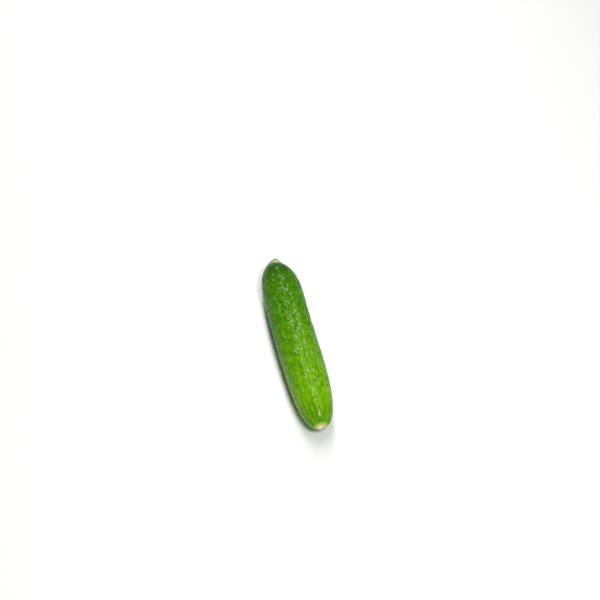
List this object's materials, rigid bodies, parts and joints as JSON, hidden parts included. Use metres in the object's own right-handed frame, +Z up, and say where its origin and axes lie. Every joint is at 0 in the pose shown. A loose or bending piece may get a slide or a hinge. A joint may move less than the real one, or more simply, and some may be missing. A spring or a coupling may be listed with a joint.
{
  "type": "mini cucumber",
  "caption": "Short smooth-skinned green cucumber lying on its side, with a cut stem stub at the dark end and a corky blossom scar at the pale end.",
  "frame": {"origin": "on the surface it rests on, under the middle of its box", "axes": "+X runs along the fruit from the stem stub to the blossom end, +Z is up, and the fruit bows towards -Y"},
  "size_m": [0.15, 0.0304, 0.0298],
  "materials": {
    "skin": "waxy green cucumber skin, dark at the stem end and yellow-green at the blossom end, semi-gloss with an uneven surface",
    "stem": "pale yellow-green plant tissue with corky tan edges, matt"
  },
  "bodies": {
    "root": {"fruit": "skin", "stem_stub": "stem"}
  },
  "joints": []
}
